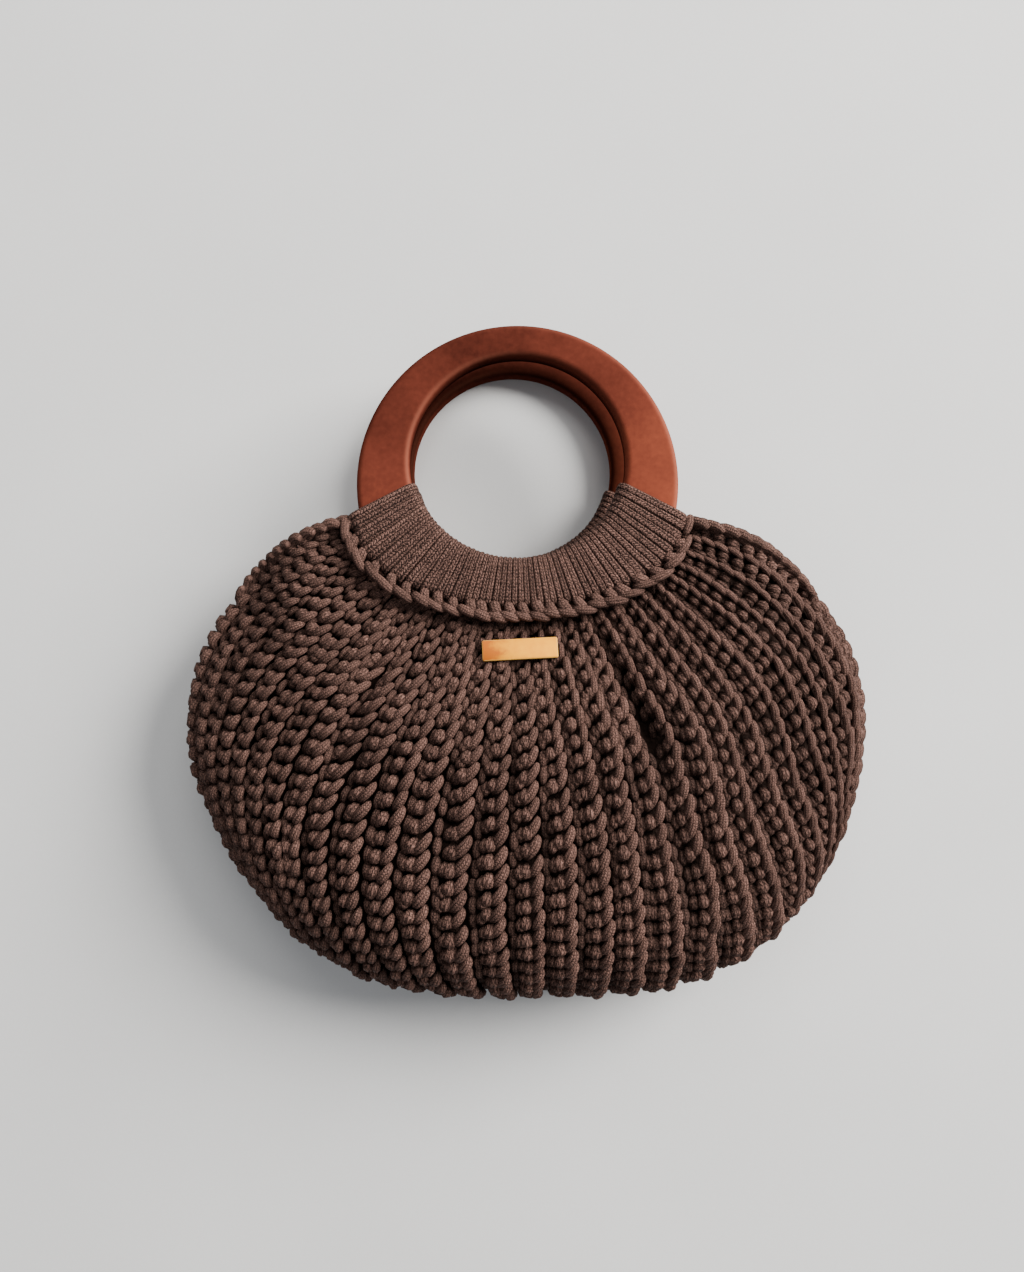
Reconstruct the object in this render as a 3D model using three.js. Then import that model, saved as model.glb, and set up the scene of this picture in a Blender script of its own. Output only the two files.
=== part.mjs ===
// Crochet bag lying on its back, with two wooden handles and a ribbed cord body that is hollow.
// Millimetres. +X is to the right, +Y toward the handles, +Z up; the back of the bag rests on z = 0.
import * as THREE from "three";

// Wooden handle: a round ring with a flatter base, seen from the front with its centre at (0, 0)
const handleRadius = 75.5;
const baseRise = 63.7;
const baseRadius = 120;
const holeRise = 9.8;
const holeRadius = 51;
const seatRise = 18.7;
const seatRadius = 57.5;
const cornerPower = 24;
const handleThickness = 13;
const edgeRound = 3.5;
const rimSides = 56;
const holeSides = 44;
const pivotY = -47.5;

// How each handle lies: place of its centre, height of its base and lean of its top toward the table
const frontHandle = { x: -4.2, y: 85, z: 60, lean: 3 };
const backHandle = { x: -6.7, y: 88, z: 13.3, lean: 3 };

// Cord wrapped around the base of a handle
const clearance = 0.55;
const cordThickness = 3.5;
const wrapInnerSpread = 89.4;
const wrapOuterSpread = 80.1;
const wrapSections = 20;
const bandCorners = 8;
const sleeveBevel = 2;
const wrapBevel = 4.4;

// Braided edge along the lower side of the wrapping
const chainRadius = 3.5;
const chainSections = 20;
const chainSides = 8;

// Body: ribs of cord running from the front neck, around the bottom and up to the back neck
const ribCount = 29;
const ribDepth = 5;
const wall = 9;
const bodyCenterX = -1.9;
const bodyCenterY = -31.2;
const bodyHalfWidth = 172.6;
const bodyDrop = 132.3;
const cornerFullness = 3.4;
const bottomTaper = { left: 0.314, right: 0.192 };
const bottomSpread = 65.4;
const sideTurn = 70;
const crownHeight = 86;
const edgeHeight = 36;
const backPress = 2;
const neckLift = 3;
const neckGap = 0.8;
const neckStart = clearance + cordThickness + neckGap;
const leaveTurn = 81.4;
const leaveReach = { middle: 76.4, left: 49, right: 68 };
const arriveTurn = { left: 34.8, right: 24.9 };
const arriveReach = { middle: 60.4, left: 104, right: 102.5 };
const frontRound = { power: 3, root: 0.6 };
const backRound = { power: 6, root: 0.5 };
const backFoldRoot = 0.5;
const ribColumns = [
  { place: 0, depth: 1 },
  { place: 0.28, depth: 0 },
  { place: 0.72, depth: 0 },
];
const rows = [0, 0.05, 0.11, 0.2, 0.35, 0.48, 0.6, 0.7, 0.8, 0.89, 0.95, 1];
const slitRow = 4;
const slitEnd = rows[slitRow];
const riseEnd = 0.32;
const probe = 0.012;
const settleFrom = 0.05;
const settleEnd = 0.2;
const foldFrom = 0.6;
const foldPlan = 0.66;

// Pinched folds of the front: a groove between two plan points
const folds = [
  { fromX: 35, fromY: 12.1, toX: 56, toY: -29.9, depth: 7, width: 7 },
  { fromX: -70, fromY: -3.9, toX: -84, toY: -37.9, depth: 4, width: 6 },
];
const pinchStart = 0.16;
const pinchFade = 12;

// Label plate under the front neck
const labelWidth = 35;
const labelHeight = 9.8;
const labelThickness = 1.6;
const labelTurn = 3;
const labelAcross = 0.01;
const labelAlong = 0.069;
const labelGap = 1.1;

const woodMaterial = new THREE.MeshStandardMaterial({ color: 0x7a3a24, roughness: 0.4 });
const cordMaterial = new THREE.MeshStandardMaterial({ color: 0x4a332b, roughness: 0.95 });
const leatherMaterial = new THREE.MeshStandardMaterial({ color: 0xb5823f, roughness: 0.7 });

function degrees(value) {
  return (value * Math.PI) / 180;
}

function smooth(end, value) {
  const part = Math.min(Math.max(value / end, 0), 1);
  return part * part * (3 - 2 * part);
}

// Distance from the handle centre to a circle whose own centre is raised by rise
function circleReach(angle, rise, radius) {
  const across = rise * Math.cos(angle);
  return rise * Math.sin(angle) + Math.sqrt(radius * radius - across * across);
}

// The smaller of two reaches, with the corner between the curves rounded
function softSmaller(first, second) {
  return (first ** -cornerPower + second ** -cornerPower) ** (-1 / cornerPower);
}

function rimPoint(angle) {
  const reach = softSmaller(handleRadius, circleReach(angle, baseRise, baseRadius));
  return new THREE.Vector2(reach * Math.cos(angle), reach * Math.sin(angle));
}

function holePoint(angle) {
  const upper = circleReach(angle, holeRise, holeRadius);
  const reach = softSmaller(upper, circleReach(angle, seatRise, seatRadius));
  return new THREE.Vector2(reach * Math.cos(angle), reach * Math.sin(angle));
}

function outline(pointAt, sides) {
  const points = [];
  for (let i = 0; i < sides; i += 1) {
    points.push(pointAt((i / sides) * 2 * Math.PI));
  }
  return points;
}

// Places a point or a shape of a handle in the bag: lean about the base, then move
function handleMatrix(handle) {
  const toPivot = new THREE.Matrix4().makeTranslation(0, -pivotY, 0);
  const turn = new THREE.Matrix4().makeRotationX(-degrees(handle.lean));
  const move = new THREE.Matrix4().makeTranslation(handle.x, handle.y + pivotY, handle.z);
  return move.multiply(turn).multiply(toPivot);
}

function makeHandle(handle) {
  const shape = new THREE.Shape(outline(rimPoint, rimSides));
  shape.holes.push(new THREE.Path(outline(holePoint, holeSides)));
  const depth = handleThickness - 2 * edgeRound;
  const geometry = new THREE.ExtrudeGeometry(shape, {
    depth,
    bevelEnabled: true,
    bevelThickness: edgeRound,
    bevelSize: edgeRound,
    bevelOffset: -edgeRound,
    bevelSegments: 2,
  });
  geometry.translate(0, 0, -depth / 2);
  geometry.applyMatrix4(handleMatrix(handle));
  return geometry;
}

// Line across the base band of a handle, from the hole to the rim, at one share of the wrapping
function bandLine(share) {
  const inner = holePoint(degrees(-90 + wrapInnerSpread * share));
  const outer = rimPoint(degrees(-90 + wrapOuterSpread * share));
  const way = outer.clone().sub(inner);
  const length = way.length();
  return { inner, outer, way: way.divideScalar(length), length };
}

// Rectangle with cut corners around the band, grown outward by some amount
function bandSection(share, grow, bevel) {
  const line = bandLine(share);
  const middle = line.inner.clone().add(line.outer).multiplyScalar(0.5);
  const reach = line.length / 2 + grow;
  const rise = handleThickness / 2 + grow;
  const corners = [
    [reach, bevel - rise],
    [reach - bevel, -rise],
    [bevel - reach, -rise],
    [-reach, bevel - rise],
    [-reach, rise - bevel],
    [bevel - reach, rise],
    [reach - bevel, rise],
    [reach, rise - bevel],
  ];
  return corners.map(([along, height]) => {
    const point = middle.clone().addScaledVector(line.way, along);
    return new THREE.Vector3(point.x, point.y, height);
  });
}

function geometryOf(points, triangles) {
  const geometry = new THREE.BufferGeometry();
  const flat = points.flatMap((point) => [point.x, point.y, point.z]);
  geometry.setAttribute("position", new THREE.Float32BufferAttribute(flat, 3));
  geometry.setIndex(triangles.flat());
  geometry.computeVertexNormals();
  return geometry;
}

// Sleeve of cord: an outer and an inner band section carried along the base, closed at both ends
function makeWrap(handle) {
  const points = [];
  const triangles = [];
  const sides = bandCorners;
  for (let i = 0; i <= wrapSections; i += 1) {
    const share = (2 * i) / wrapSections - 1;
    points.push(...bandSection(share, clearance + cordThickness, wrapBevel));
    points.push(...bandSection(share, clearance, sleeveBevel));
  }
  for (let i = 0; i < wrapSections; i += 1) {
    for (let k = 0; k < sides; k += 1) {
      const next = (k + 1) % sides;
      const near = 2 * sides * i;
      const far = near + 2 * sides;
      triangles.push([near + k, near + next, far + next], [near + k, far + next, far + k]);
      const nearIn = near + sides;
      const farIn = far + sides;
      triangles.push([nearIn + k, farIn + next, nearIn + next], [nearIn + k, farIn + k, farIn + next]);
    }
  }
  const last = 2 * sides * wrapSections;
  for (let k = 0; k < sides; k += 1) {
    const next = (k + 1) % sides;
    triangles.push([k, sides + k, sides + next], [k, sides + next, next]);
    const rimNear = last + k;
    const rimNext = last + next;
    triangles.push([rimNear, rimNext + sides, rimNear + sides], [rimNear, rimNext, rimNext + sides]);
  }
  const geometry = geometryOf(points, triangles);
  geometry.applyMatrix4(handleMatrix(handle));
  return geometry;
}

// Braided edge: a round cord carried along the lower side of the wrapping, outside the neck of the body
function makeChain(handle, side) {
  const height = side * (neckLift + 2 * clearance + chainRadius);
  const path = [];
  for (let i = 0; i <= chainSections; i += 1) {
    const line = bandLine((2 * i) / chainSections - 1);
    const point = line.outer.clone().addScaledVector(line.way, neckStart + chainRadius);
    path.push(new THREE.Vector3(point.x, point.y, height));
  }
  const section = new THREE.Shape(outline((angle) => {
    return new THREE.Vector2(chainRadius * Math.cos(angle), chainRadius * Math.sin(angle));
  }, chainSides));
  const geometry = new THREE.ExtrudeGeometry(section, {
    steps: chainSections,
    extrudePath: new THREE.CatmullRomCurve3(path),
    bevelEnabled: false,
  });
  geometry.applyMatrix4(handleMatrix(handle));
  return geometry;
}

function neckPoint(handle, side, across) {
  const line = bandLine(across);
  const point = line.outer.clone().addScaledVector(line.way, neckStart);
  return new THREE.Vector3(point.x, point.y, side * neckLift).applyMatrix4(handleMatrix(handle));
}

// Value of one half of the body
function ofSide(pair, across) {
  return across < 0 ? pair.left : pair.right;
}

// Length that grows from the middle of the body to its sides
function reachAt(reach, across) {
  return reach.middle + (ofSide(reach, across) - reach.middle) * across ** 2;
}

// Point of the bottom fold where a rib turns from the front to the back: a full oval that narrows downward
function foldPoint(across) {
  const angle = degrees(bottomSpread * across);
  const sine = Math.sin(angle);
  const cosine = Math.cos(angle);
  const corner = Math.abs(sine) ** cornerFullness + Math.abs(cosine) ** cornerFullness;
  const stretch = corner ** (-1 / cornerFullness);
  const drop = stretch * cosine;
  const narrow = 1 - ofSide(bottomTaper, across) * drop;
  const x = bodyCenterX + bodyHalfWidth * stretch * sine * narrow;
  return new THREE.Vector2(x, bodyCenterY - bodyDrop * drop);
}

// Plan of a rib: a cubic curve that leaves the neck squarely and reaches the bottom fold going down
function planPoint(across, along) {
  const neck = neckPoint(frontHandle, 1, across);
  const end = foldPoint(across);
  const leave = degrees(-90 + leaveTurn * across);
  const leaveLength = reachAt(leaveReach, across);
  const arrive = degrees(ofSide(arriveTurn, across) * across);
  const arriveLength = reachAt(arriveReach, across);
  const turn = (along - foldFrom) / (1 - foldFrom);
  const bend = foldPlan + (1 - foldPlan) * Math.sin((turn * Math.PI) / 2);
  const t = along < foldFrom ? (foldPlan * along) / foldFrom : bend;
  const a = (1 - t) ** 3;
  const b = 3 * t * (1 - t) ** 2;
  const c = 3 * t * t * (1 - t);
  const d = t ** 3;
  const leaveX = neck.x + leaveLength * Math.cos(leave);
  const leaveY = neck.y + leaveLength * Math.sin(leave);
  const arriveX = end.x + arriveLength * Math.sin(arrive);
  const arriveY = end.y + arriveLength * Math.cos(arrive);
  return new THREE.Vector2(
    a * neck.x + b * leaveX + c * arriveX + d * end.x,
    a * neck.y + b * leaveY + c * arriveY + d * end.y,
  );
}

// Share of the full height left near the sides; the neck keeps its height right across
function sideShare(across, along, round) {
  const spread = Math.sin(degrees(sideTurn * across)) / Math.sin(degrees(sideTurn));
  const share = Math.max(1 - Math.abs(spread) ** round.power, 0) ** round.root;
  return 1 + (share - 1) * smooth(slitEnd, along);
}

function foldShare(along) {
  const turn = Math.max((along - foldFrom) / (1 - foldFrom), 0);
  return Math.max(Math.cos((turn * Math.PI) / 2), 0);
}

function pinch(x, y) {
  let depth = 0;
  for (const fold of folds) {
    const wayX = fold.toX - fold.fromX;
    const wayY = fold.toY - fold.fromY;
    const length = Math.hypot(wayX, wayY);
    const run = ((x - fold.fromX) * wayX + (y - fold.fromY) * wayY) / length;
    const aside = ((x - fold.fromX) * wayY - (y - fold.fromY) * wayX) / length;
    const beyond = Math.max(-run, run - length, 0);
    depth += fold.depth * Math.exp(-((aside / fold.width) ** 2) - (beyond / pinchFade) ** 2);
  }
  return depth;
}

// Front of the body over the rib tops: rises from the neck to the crown, rounds off at the sides and bottom
function frontPoint(across, along) {
  const plan = planPoint(across, along);
  const neck = neckPoint(frontHandle, 1, across);
  const crown = neck.z + (crownHeight - neck.z) * smooth(riseEnd, along);
  const share = sideShare(across, along, frontRound) * foldShare(along);
  const groove = pinch(plan.x, plan.y) * smooth(pinchStart, along);
  const height = edgeHeight + (crown - edgeHeight - groove) * share;
  return new THREE.Vector3(plan.x, plan.y, height);
}

// Back of the body: the same plan, pressed flat on the table in the middle
function backPoint(across, along) {
  const plan = planPoint(across, along);
  const neck = neckPoint(backHandle, -1, across);
  const frontNeck = neckPoint(frontHandle, 1, across);
  const rest = 1 - smooth(slitEnd, along);
  const settle = smooth(settleEnd - settleFrom, along - settleFrom);
  const floor = neck.z * (1 - settle) - backPress * settle;
  const share = sideShare(across, along, backRound) * foldShare(along) ** backFoldRoot;
  const height = Math.max(edgeHeight - (edgeHeight - floor) * share, 0);
  const x = plan.x + (neck.x - frontNeck.x) * rest;
  const y = plan.y + (neck.y - frontNeck.y) * rest;
  return new THREE.Vector3(x, y, height);
}

// Outward direction of a surface, from two short steps along it
function outward(pointAt, side, across, along) {
  const s = Math.min(Math.max(across, probe - 1), 1 - probe);
  const v = Math.min(Math.max(along, probe), 1 - probe);
  const acrossWay = pointAt(s + probe, v).sub(pointAt(s - probe, v));
  const alongWay = pointAt(s, v + probe).sub(pointAt(s, v - probe));
  return alongWay.cross(acrossWay).multiplyScalar(side).normalize();
}

// True where the front and the back are one sheet: the bottom fold and the closed part of the sides
function joined(across, row) {
  const atSide = 1 - Math.abs(across) < probe / 10;
  return row === rows.length - 1 || (atSide && row >= slitRow);
}

function normalAt(side, across, row) {
  const along = rows[row];
  const front = outward(frontPoint, 1, across, along);
  const back = outward(backPoint, -1, across, along);
  if (joined(across, row)) {
    return front.add(back).normalize();
  }
  return side > 0 ? front : back;
}

function makeBody() {
  const points = [];
  const triangles = [];
  const lastRow = rows.length - 1;
  const perRib = ribColumns.length;
  const columns = ribCount * perRib;
  const outerShare = (j) => {
    const column = ribColumns[j % perRib];
    return (2 * (Math.floor(j / perRib) + column.place)) / ribCount - 1;
  };
  const grid = (side, count, shareAt, depthAt, shared) => {
    const pointAt = side > 0 ? frontPoint : backPoint;
    const indices = [];
    for (let j = 0; j <= count; j += 1) {
      const across = shareAt(j);
      const line = [];
      for (let i = 0; i <= lastRow; i += 1) {
        if (shared && joined(across, i)) {
          line.push(shared[j][i]);
          continue;
        }
        const normal = normalAt(side, across, i);
        points.push(pointAt(across, rows[i]).addScaledVector(normal, -depthAt(j)));
        line.push(points.length - 1);
      }
      indices.push(line);
    }
    return indices;
  };
  const ribDepthAt = (j) => ribDepth * ribColumns[j % perRib].depth;
  const wallAt = () => wall;
  const innerShare = (k) => (2 * k) / ribCount - 1;
  const outerFront = grid(1, columns, outerShare, ribDepthAt, null);
  const outerBack = grid(-1, columns, outerShare, ribDepthAt, outerFront);
  const innerFront = grid(1, ribCount, innerShare, wallAt, null);
  const innerBack = grid(-1, ribCount, innerShare, wallAt, innerFront);
  const add = (flip, a, b, c) => {
    if (a !== b && b !== c && c !== a) {
      triangles.push(flip ? [a, c, b] : [a, b, c]);
    }
  };
  const sheet = (lines, flip) => {
    for (let j = 0; j + 1 < lines.length; j += 1) {
      for (let i = 0; i < lastRow; i += 1) {
        add(flip, lines[j][i], lines[j][i + 1], lines[j + 1][i + 1]);
        add(flip, lines[j][i], lines[j + 1][i + 1], lines[j + 1][i]);
      }
    }
  };
  const rim = (outer, inner, flip) => {
    for (let k = 0; k < ribCount; k += 1) {
      const ring = [0, 1, 2, 3].map((step) => outer[perRib * k + step][0]);
      const near = inner[k][0];
      const far = inner[k + 1][0];
      add(flip, ring[0], ring[1], near);
      add(flip, ring[1], ring[2], near);
      add(flip, ring[2], far, near);
      add(flip, ring[2], ring[3], far);
    }
    for (let i = 0; i < slitRow; i += 1) {
      const right = outer[columns];
      const rightIn = inner[ribCount];
      add(flip, right[i], right[i + 1], rightIn[i + 1]);
      add(flip, right[i], rightIn[i + 1], rightIn[i]);
      const left = outer[0];
      const leftIn = inner[0];
      add(flip, left[i + 1], left[i], leftIn[i]);
      add(flip, left[i + 1], leftIn[i], leftIn[i + 1]);
    }
  };
  sheet(outerFront, false);
  sheet(outerBack, true);
  sheet(innerFront, true);
  sheet(innerBack, false);
  rim(outerFront, innerFront, false);
  rim(outerBack, innerBack, true);
  return geometryOf(points, triangles);
}

// Plate lying on the rib tops, turned a little in its own plane
function makeLabel() {
  const geometry = new THREE.BoxGeometry(labelWidth, labelHeight, labelThickness);
  geometry.rotateZ(degrees(labelTurn));
  const normal = outward(frontPoint, 1, labelAcross, labelAlong);
  const right = new THREE.Vector3(1, 0, 0).addScaledVector(normal, -normal.x).normalize();
  const up = normal.clone().cross(right);
  const seat = frontPoint(labelAcross, labelAlong).addScaledVector(normal, labelGap + labelThickness / 2);
  const frame = new THREE.Matrix4().makeBasis(right, up, normal).setPosition(seat);
  geometry.applyMatrix4(frame);
  return geometry;
}

const bag = new THREE.Group();
bag.name = "crochet_bag";

function addPart(name, geometry, material) {
  const mesh = new THREE.Mesh(geometry, material);
  mesh.name = name;
  bag.add(mesh);
}

addPart("bag_body", makeBody(), cordMaterial);
addPart("handle_front", makeHandle(frontHandle), woodMaterial);
addPart("handle_back", makeHandle(backHandle), woodMaterial);
addPart("neck_wrap_front", makeWrap(frontHandle), cordMaterial);
addPart("neck_wrap_back", makeWrap(backHandle), cordMaterial);
addPart("neck_chain_front", makeChain(frontHandle, 1), cordMaterial);
addPart("neck_chain_back", makeChain(backHandle, -1), cordMaterial);
addPart("label", makeLabel(), leatherMaterial);

export default bag;
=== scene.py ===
import bpy
import numpy as np
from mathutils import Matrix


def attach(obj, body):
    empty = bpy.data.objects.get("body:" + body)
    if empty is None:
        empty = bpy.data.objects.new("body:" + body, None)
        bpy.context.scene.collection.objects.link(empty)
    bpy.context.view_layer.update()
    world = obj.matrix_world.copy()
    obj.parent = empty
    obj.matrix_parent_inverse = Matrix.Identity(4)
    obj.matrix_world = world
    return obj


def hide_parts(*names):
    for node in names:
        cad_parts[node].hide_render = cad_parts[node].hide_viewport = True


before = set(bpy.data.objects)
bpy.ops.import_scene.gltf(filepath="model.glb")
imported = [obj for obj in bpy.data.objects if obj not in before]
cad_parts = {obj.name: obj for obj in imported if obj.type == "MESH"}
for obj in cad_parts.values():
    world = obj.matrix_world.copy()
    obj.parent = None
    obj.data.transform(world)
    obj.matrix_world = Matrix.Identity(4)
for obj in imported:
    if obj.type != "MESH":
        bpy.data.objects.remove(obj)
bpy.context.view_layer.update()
rng = np.random.default_rng(11)
mm = 0.001  # shapes below are worked out in millimetres
print("frame loaded with", len(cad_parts), "nodes")


# Camera and light

view = dict(place=(-6.8, 13.7, 543), focalPixels=1026, longSide=1272, sensor=36, near=0.01, far=50)
keyLight = dict(place=(2.2, 1.3, 1.65), size=1.9, power=320, colour=(1, 0.98, 0.95))
topLight = dict(place=(0.2, 1.9, 1.9), size=1.8, power=40, colour=(1, 0.99, 0.97))
lightAim = (0, 0, 0.03)
sky = dict(colour=(0.92, 0.95, 1, 1), strength=0.5)


def makeCamera():
    camera = bpy.data.cameras.new("camera")
    camera.sensor_width = view["sensor"]
    camera.lens = view["sensor"] * view["focalPixels"] / view["longSide"]
    camera.clip_start, camera.clip_end = view["near"], view["far"]
    holder = bpy.data.objects.new("camera", camera)
    holder.location = np.array(view["place"]) * mm  # looks straight down, handles at the top
    bpy.context.collection.objects.link(holder)
    bpy.context.scene.camera = holder


def makeLight(name, light):
    # round lamp, tilted from straight down and turned about the vertical to face the bag
    lamp = bpy.data.lights.new(name, "AREA")
    lamp.shape = "DISK"
    lamp.size, lamp.energy, lamp.color = light["size"], light["power"], light["colour"]
    holder = bpy.data.objects.new(name, lamp)
    holder.location = light["place"]
    way = np.array(lightAim) - np.array(light["place"])
    tilt = np.arctan2(np.hypot(way[0], way[1]), -way[2])
    holder.rotation_euler = (tilt, 0, np.arctan2(way[0], -way[1]) + np.pi)
    bpy.context.collection.objects.link(holder)


def makeSky():
    world = bpy.data.worlds.new("studio")
    bpy.context.scene.world = world
    world.use_nodes = True
    background = world.node_tree.nodes["Background"]
    background.inputs["Color"].default_value = sky["colour"]
    background.inputs["Strength"].default_value = sky["strength"]


makeCamera()
makeLight("keyLight", keyLight)
makeLight("topLight", topLight)
makeSky()
print("camera and lights placed")


# Mesh helpers

cordUvLength = 10  # millimetres of cord for one unit of its uv
tip = dict(share=0.55, power=10)  # how much a strand thins at its very ends


def lengths(rows):
    return np.linalg.norm(rows, axis=-1)


def unit(rows):  # the same directions with length one
    return rows / np.maximum(lengths(rows)[..., None], 1e-9)


def smooth(value, end):  # rises from 0 to 1 with level ends while value goes from 0 to end
    part = np.clip(value / end, 0, 1)
    return part * part * (3 - 2 * part)


def onFloor(points):  # pressed flat where the bag lies
    return np.stack([points[..., 0], points[..., 1], np.maximum(points[..., 2], 0)], axis=-1)


def makePiece(name, points, faces, material, uv=None, marks=None):
    # faces has an index array for each corner count, uv a row for each corner, marks a value a point
    mesh = bpy.data.meshes.new(name)
    corners = np.concatenate([part.ravel() for part in faces]).astype(np.int32)
    sizes = np.concatenate([np.full(len(part), part.shape[1]) for part in faces])
    starts = np.concatenate([[0], np.cumsum(sizes)[:-1]]).astype(np.int32)
    mesh.vertices.add(len(points))
    mesh.vertices.foreach_set("co", (points * mm).astype(np.float32).ravel())
    mesh.loops.add(len(corners))
    mesh.loops.foreach_set("vertex_index", corners)
    mesh.polygons.add(len(sizes))
    mesh.polygons.foreach_set("loop_start", starts)
    mesh.polygons.foreach_set("use_smooth", np.ones(len(sizes), dtype=bool))
    if uv is not None:
        layer = mesh.uv_layers.new(name="cordUv")
        layer.data.foreach_set("uv", uv.astype(np.float32).ravel())
    for key, values in (marks or {}).items():
        layer = mesh.attributes.new(key, "FLOAT", "POINT")
        layer.data.foreach_set("value", values.astype(np.float32).ravel())
    mesh.update(calc_edges=True)
    mesh.validate()
    piece = bpy.data.objects.new(name, mesh)
    bpy.context.collection.objects.link(piece)
    mesh.materials.append(material)
    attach(piece, "root")
    print(name, len(mesh.polygons), "faces")
    return piece


def tubeStrands(path, up, wide, high, sides, closed=False):
    # an oval ring around each path point, path + side * wide * cos + lift * high * sin,
    # joined ring to ring; open strands are capped
    if closed:
        tangent = unit(np.roll(path, -1, axis=1) - np.roll(path, 1, axis=1))
    else:
        tangent = unit(np.gradient(path, axis=1))
    side = unit(np.cross(tangent, up))
    lift = np.cross(side, tangent)
    turn = np.arange(sides) / sides * 2 * np.pi
    ring = path[:, :, None] + side[:, :, None] * (wide[..., None] * np.cos(turn))[..., None]
    ring = ring + lift[:, :, None] * (high[..., None] * np.sin(turn))[..., None]
    count, rings = path.shape[:2]
    index = np.arange(count * rings * sides).reshape(count, rings, sides)
    beside = np.roll(index, -1, axis=2)
    near = slice(None) if closed else slice(0, -1)
    after = np.roll(index, -1, axis=1)[:, near]
    afterBeside = np.roll(beside, -1, axis=1)[:, near]
    quads = np.stack([index[:, near], after, afterBeside, beside[:, near]], axis=-1)
    gap = lengths(np.roll(path, -1, axis=1) - path)
    run = np.concatenate([np.zeros((count, 1)), np.cumsum(gap, axis=1)], axis=1) / cordUvLength
    around = np.broadcast_to(np.arange(sides) / sides, quads.shape[:3])
    turned = around + 1 / sides
    low = np.broadcast_to(run[:, :-1][:, near, None], quads.shape[:3])
    top = np.broadcast_to(run[:, 1:][:, near, None], quads.shape[:3])
    pairs = ((around, low), (around, top), (turned, top), (turned, low))
    uv = np.stack([np.stack(pair, axis=-1) for pair in pairs], axis=-2)
    faces, corners = [quads.reshape(-1, 4)], [uv.reshape(-1, 2)]
    if not closed:
        faces += [index[:, 0], index[:, -1, ::-1]]
        corners += [np.tile([[0.5, 0.0]], (2 * count * sides, 1))]
    return ring.reshape(-1, 3), faces, np.concatenate(corners)


def throughRows(table, keys, count):
    # cubic from row to row of a short table, at each row with the slope between its neighbours
    rows = np.stack([np.array(table[key], float) for key in keys], axis=1)
    slope = np.gradient(rows, axis=0)
    place = np.linspace(0, len(rows) - 1, count)
    low = np.minimum(place.astype(int), len(rows) - 2)
    t = (place - low)[:, None]
    a, b = rows[low], rows[low + 1]
    curve = (2 * t ** 3 - 3 * t ** 2 + 1) * a + (t ** 3 - 2 * t ** 2 + t) * slope[low]
    return curve + (3 * t ** 2 - 2 * t ** 3) * b + (t ** 3 - t ** 2) * slope[low + 1]


def tipThinning(rings):  # share of the thickness at each ring
    return 1 - tip["share"] * np.linspace(-1, 1, rings) ** tip["power"]


def cordMarks(count, points, deep=0):  # a random tone for each strand, and how deep it lies
    tone = np.repeat(rng.random(count), len(points) // count)
    return dict(tone=tone, deep=np.zeros_like(tone) + deep)


def cornerTurns(steps):  # angles of four quarter circles, and the signs of their corners
    quarter = np.linspace(0, np.pi / 2, steps)
    turn = np.concatenate([quarter + k * np.pi / 2 for k in range(4)])
    return turn, np.repeat([(1, 1), (-1, 1), (-1, -1), (1, -1)], steps, axis=0)


# Materials: noise is given as scale and detail, bump as strength and distance

class nodeBench:  # adds nodes to one tree and links them by socket name, or n and the number
    def __init__(self, tree):
        self.tree = tree

    def add(self, kind, settings=None, **inputs):
        node = self.tree.nodes.new(kind)
        for key, value in (settings or {}).items():
            setattr(node, key, value)
        for key, value in inputs.items():
            self.feed(node, key, value)
        return node

    def feed(self, node, key, value):
        socket = node.inputs[int(key[1:]) if key[0] == "n" and key[1:].isdigit() else key]
        if isinstance(value, bpy.types.NodeSocket):
            self.tree.links.new(value, socket)
        else:
            socket.default_value = value

    def spot(self):
        return self.add("ShaderNodeTexCoord").outputs["Object"]

    def uvPlace(self):
        uv = self.add("ShaderNodeUVMap", dict(uv_map="cordUv")).outputs[0]
        return self.add("ShaderNodeSeparateXYZ", None, n0=uv).outputs[:2]

    def mark(self, name):
        return self.add("ShaderNodeAttribute", dict(attribute_name=name)).outputs["Fac"]

    def math(self, operation, first, second=0):
        node = self.add("ShaderNodeMath", dict(operation=operation), n0=first, n1=second)
        return node.outputs[0]

    def times(self, first, second):
        return self.math("MULTIPLY", first, second)

    def plus(self, first, second):
        return self.math("ADD", first, second)

    def minus(self, first, second):
        return self.math("SUBTRACT", first, second)

    def noise(self, vector, scale, detail):
        node = self.add("ShaderNodeTexNoise", None, Vector=vector, Scale=scale, Detail=detail)
        return node.outputs["Fac"]

    def wave(self, noise, share):  # the noise around zero, times a share
        return self.times(self.minus(noise, 0.5), share)

    def mix(self, share, first, second):
        ends = [(*end, 1) if isinstance(end, tuple) else end for end in (first, second)]
        node = self.add("ShaderNodeMix", dict(data_type="RGBA"), n0=share, n6=ends[0], n7=ends[1])
        return node.outputs[2]

    def scaled(self, colour, factor):
        node = self.add("ShaderNodeVectorMath", dict(operation="SCALE"), n0=colour, Scale=factor)
        return node.outputs[0]

    def ramp(self, value, stops):
        node = self.add("ShaderNodeValToRGB", None, Fac=value)
        marks = node.color_ramp.elements
        while len(marks) < len(stops):
            marks.new(0.5)
        for mark, (position, colour) in zip(marks, stops):
            mark.position, mark.color = position, (*colour, 1)
        return node.outputs["Color"]

    def paint(self, colour, height=None, bump=()):
        shader = self.tree.nodes["Principled BSDF"]
        self.feed(shader, "Base Color", colour)
        if bump:
            node = self.add("ShaderNodeBump", None, Strength=bump[0], Distance=bump[1], Height=height)
            self.feed(shader, "Normal", node.outputs["Normal"])


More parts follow.
